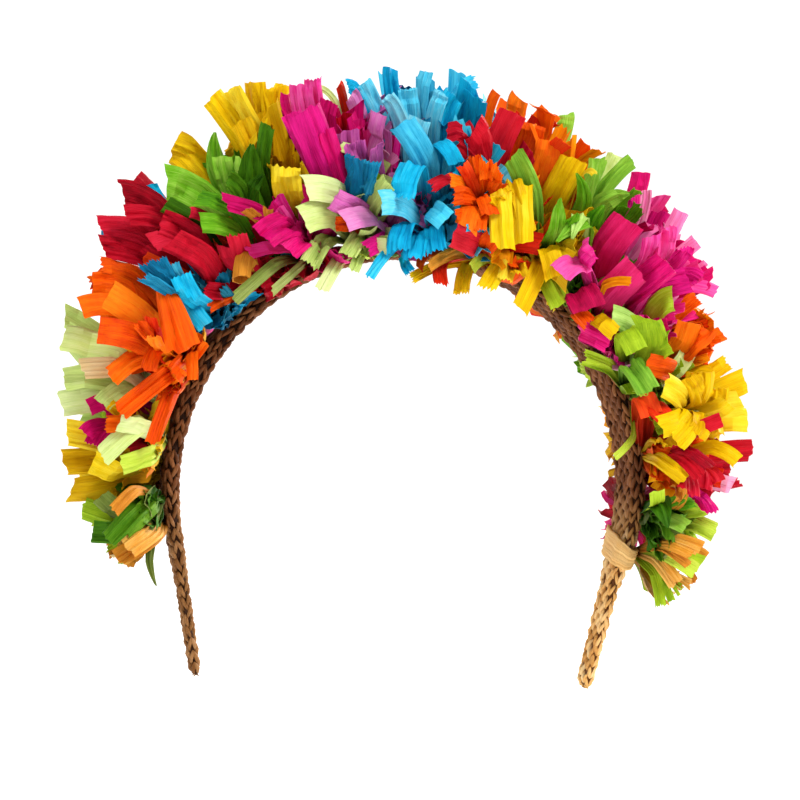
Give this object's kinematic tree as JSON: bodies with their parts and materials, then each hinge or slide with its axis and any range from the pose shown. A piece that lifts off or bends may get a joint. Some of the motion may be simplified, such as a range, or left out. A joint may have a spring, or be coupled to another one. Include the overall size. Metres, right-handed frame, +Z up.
{
  "type": "raffia flower headpiece",
  "caption": "Crocheted raffia head band that arches over the head, covered with tufts of cut, dyed raffia ribbon.",
  "frame": {"origin": "inside of the band at its crown, in the middle of its width, where it sits on the head", "axes": "+Z up as worn, -Y to the front of the head, +X to the viewer's right seen from the front"},
  "size_m": [0.2496, 0.1081, 0.2228],
  "materials": {
    "raffia_amber": "dyed raffia ribbon, faint sheen along the grain",
    "raffia_crimson": "dyed raffia ribbon, faint sheen along the grain",
    "crocheted_raffia": "crocheted, matte",
    "raffia_gold": "dyed raffia ribbon, faint sheen along the grain",
    "raffia_hot_pink": "dyed raffia ribbon, faint sheen along the grain",
    "raffia_leaf_green": "dyed raffia ribbon, faint sheen along the grain",
    "raffia_lime": "dyed raffia ribbon, faint sheen along the grain",
    "raffia_magenta": "dyed raffia ribbon, faint sheen along the grain",
    "raffia_mauve": "dyed raffia ribbon, faint sheen along the grain",
    "raffia_moss_green": "dyed raffia ribbon, faint sheen along the grain",
    "raffia_natural": "dyed raffia ribbon, faint sheen along the grain",
    "raffia_orange": "dyed raffia ribbon, faint sheen along the grain",
    "raffia_pale_green": "dyed raffia ribbon, faint sheen along the grain",
    "raffia_scarlet": "dyed raffia ribbon, faint sheen along the grain",
    "raffia_steel_blue": "dyed raffia ribbon, faint sheen along the grain",
    "raffia_turquoise": "dyed raffia ribbon, faint sheen along the grain",
    "raffia_yellow": "dyed raffia ribbon, faint sheen along the grain"
  },
  "bodies": {
    "root": {"crochet_band": "crocheted_raffia", "binding_strap": "raffia_natural", "crest_tuft_01_natural": "raffia_natural", "crest_tuft_02_gold": "raffia_gold", "crest_tuft_03_pale_green": "raffia_pale_green", "crest_tuft_04_orange": "raffia_orange", "crest_tuft_05_crimson": "raffia_crimson", "crest_tuft_06_leaf_green": "raffia_leaf_green", "crest_tuft_07_yellow": "raffia_yellow", "crest_tuft_08_magenta": "raffia_magenta", "crest_tuft_09_mauve": "raffia_mauve", "crest_tuft_10_turquoise": "raffia_turquoise", "crest_tuft_11_scarlet": "raffia_scarlet", "crest_tuft_12_amber": "raffia_amber", "crest_tuft_13_leaf_green": "raffia_leaf_green", "crest_tuft_14_hot_pink": "raffia_hot_pink", "crest_tuft_15_orange": "raffia_orange", "crest_tuft_16_yellow": "raffia_yellow", "crest_tuft_17_crimson": "raffia_crimson", "crest_tuft_18_lime": "raffia_lime", "crest_tuft_19_natural": "raffia_natural", "front_tuft_01_moss_green": "raffia_moss_green", "front_tuft_02_gold": "raffia_gold", "front_tuft_03_orange": "raffia_orange", "front_tuft_04_steel_blue": "raffia_steel_blue", "front_tuft_05_crimson": "raffia_crimson", "front_tuft_06_magenta": "raffia_magenta", "front_tuft_07_pale_green": "raffia_pale_green", "front_tuft_08_mauve": "raffia_mauve", "front_tuft_09_turquoise": "raffia_turquoise", "front_tuft_10_orange": "raffia_orange", "front_tuft_11_yellow": "raffia_yellow", "front_tuft_12_leaf_green": "raffia_leaf_green", "front_tuft_13_hot_pink": "raffia_hot_pink", "front_tuft_14_lime": "raffia_lime", "front_tuft_15_orange": "raffia_orange", "front_tuft_16_moss_green": "raffia_moss_green", "back_tuft_01_orange": "raffia_orange", "back_tuft_02_lime": "raffia_lime", "back_tuft_03_hot_pink": "raffia_hot_pink", "back_tuft_04_yellow": "raffia_yellow", "back_tuft_05_turquoise": "raffia_turquoise", "back_tuft_06_crimson": "raffia_crimson", "back_tuft_07_leaf_green": "raffia_leaf_green", "back_tuft_08_mauve": "raffia_mauve", "back_tuft_09_orange": "raffia_orange", "back_tuft_10_lime": "raffia_lime", "back_tuft_11_gold": "raffia_gold", "back_tuft_12_magenta": "raffia_magenta"}
  },
  "joints": []
}
